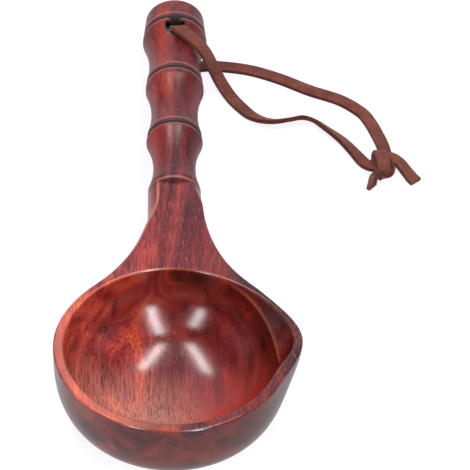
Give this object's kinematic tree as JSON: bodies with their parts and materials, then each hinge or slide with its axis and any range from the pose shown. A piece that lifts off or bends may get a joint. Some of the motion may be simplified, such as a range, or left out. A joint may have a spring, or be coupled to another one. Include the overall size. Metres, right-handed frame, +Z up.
{
  "type": "wooden ladle",
  "caption": "Wooden ladle with a round bowl, a pouring lip on one side, a flat shoulder and a handle turned like bamboo, with a knotted suede hanging lace through its end.",
  "frame": {"origin": "bottom centre of the wooden ladle's bounding box, on the table that it lies on", "axes": "+Y from the bowl along to the end of the handle, +X towards the side with the pouring lip, +Z up"},
  "size_m": [0.1538, 0.2498, 0.043],
  "materials": {
    "rosewood": "carved and turned hardwood, stained red-brown, satin lacquer",
    "suede": "cut suede lace, matte nap"
  },
  "bodies": {
    "ladle": {"ladle_body": "rosewood"},
    "lanyard": {"lace_upper_run": "suede", "lace_lower_run": "suede", "lace_knot": "suede", "lace_long_tail": "suede", "lace_short_tail": "suede"}
  },
  "joints": [
    {"name": "lanyard_swing", "type": "hinge", "parent": "ladle", "child": "lanyard", "pos_m": [-0.0015, 0.10619, 0], "axis": [0, 0, 1], "range_deg": [-8, 60]}
  ]
}
